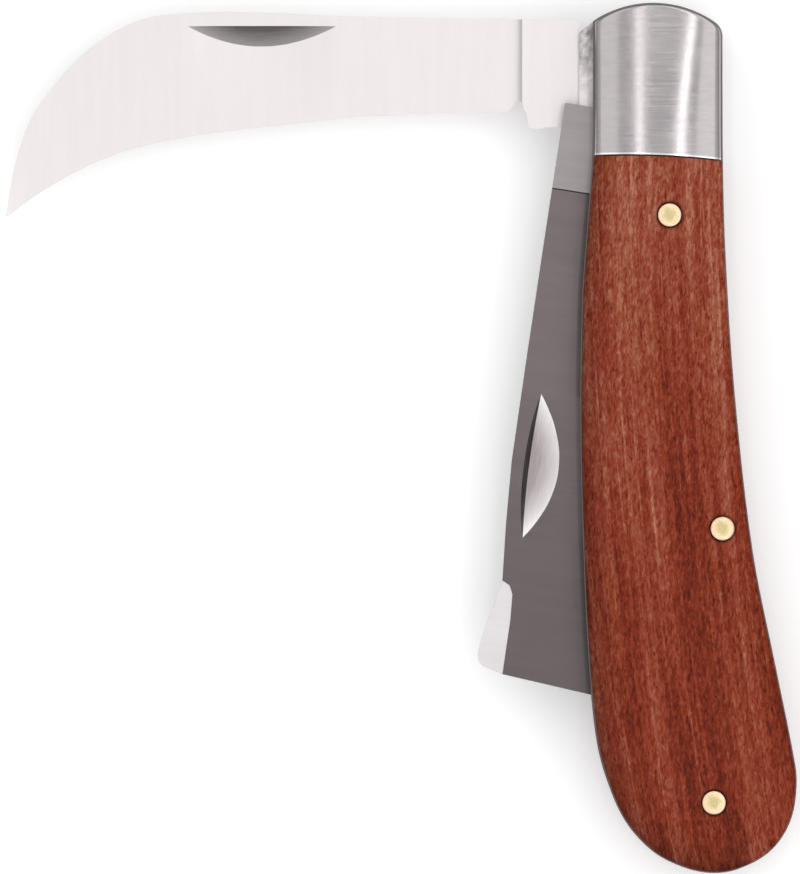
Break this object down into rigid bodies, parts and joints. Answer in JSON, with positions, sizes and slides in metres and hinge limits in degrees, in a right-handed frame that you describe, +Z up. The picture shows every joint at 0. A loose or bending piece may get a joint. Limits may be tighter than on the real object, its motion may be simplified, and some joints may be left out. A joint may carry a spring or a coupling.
{
  "type": "grafting knife",
  "caption": "Folding grafting knife: hooked blade and straight grafting blade with a bark lifter on one pivot, two backsprings, liners, round-headed bolsters, pinned wood scales.",
  "frame": {"origin": "on the plane of the rear scale's flat land, near the middle of the handle", "axes": "+Z up through the layers from the rear scale to the front scale, +Y along the handle toward the bolsters, +X toward the handle's back, on which the springs lie"},
  "size_m": [0.096, 0.1055, 0.0152],
  "materials": {
    "bolster_steel": "brushed along the handle",
    "redwood": "satin, lengthwise grain",
    "liner_steel": "plain ground",
    "spring_steel": "ground back edge",
    "hook_blade_steel": "bright satin",
    "grafting_blade_steel": "satin",
    "pin_brass": "peened and polished"
  },
  "bodies": {
    "handle": {"front_bolster": "bolster_steel", "rear_bolster": "bolster_steel", "front_scale": "redwood", "rear_scale": "redwood", "front_liner": "liner_steel", "center_liner": "liner_steel", "rear_liner": "liner_steel", "hook_backspring": "spring_steel", "grafting_backspring": "spring_steel", "pivot_pin": "bolster_steel", "spring_pin": "pin_brass", "butt_pin": "pin_brass", "front_scale_pin": "pin_brass", "rear_scale_pin": "pin_brass"},
    "hook": {"hook_blade": "hook_blade_steel"},
    "graft": {"grafting_blade": "grafting_blade_steel"}
  },
  "joints": [
    {"name": "hook_fold", "type": "hinge", "parent": "handle", "child": "hook", "pos_m": [-0.002, 0.042, 0.00612], "axis": [0, 0, -1], "range_deg": [-88, 90]},
    {"name": "graft_fold", "type": "hinge", "parent": "handle", "child": "graft", "pos_m": [-0.002, 0.042, 0.0092], "axis": [0, 0, -1], "range_deg": [-6.9, 171.1]}
  ]
}
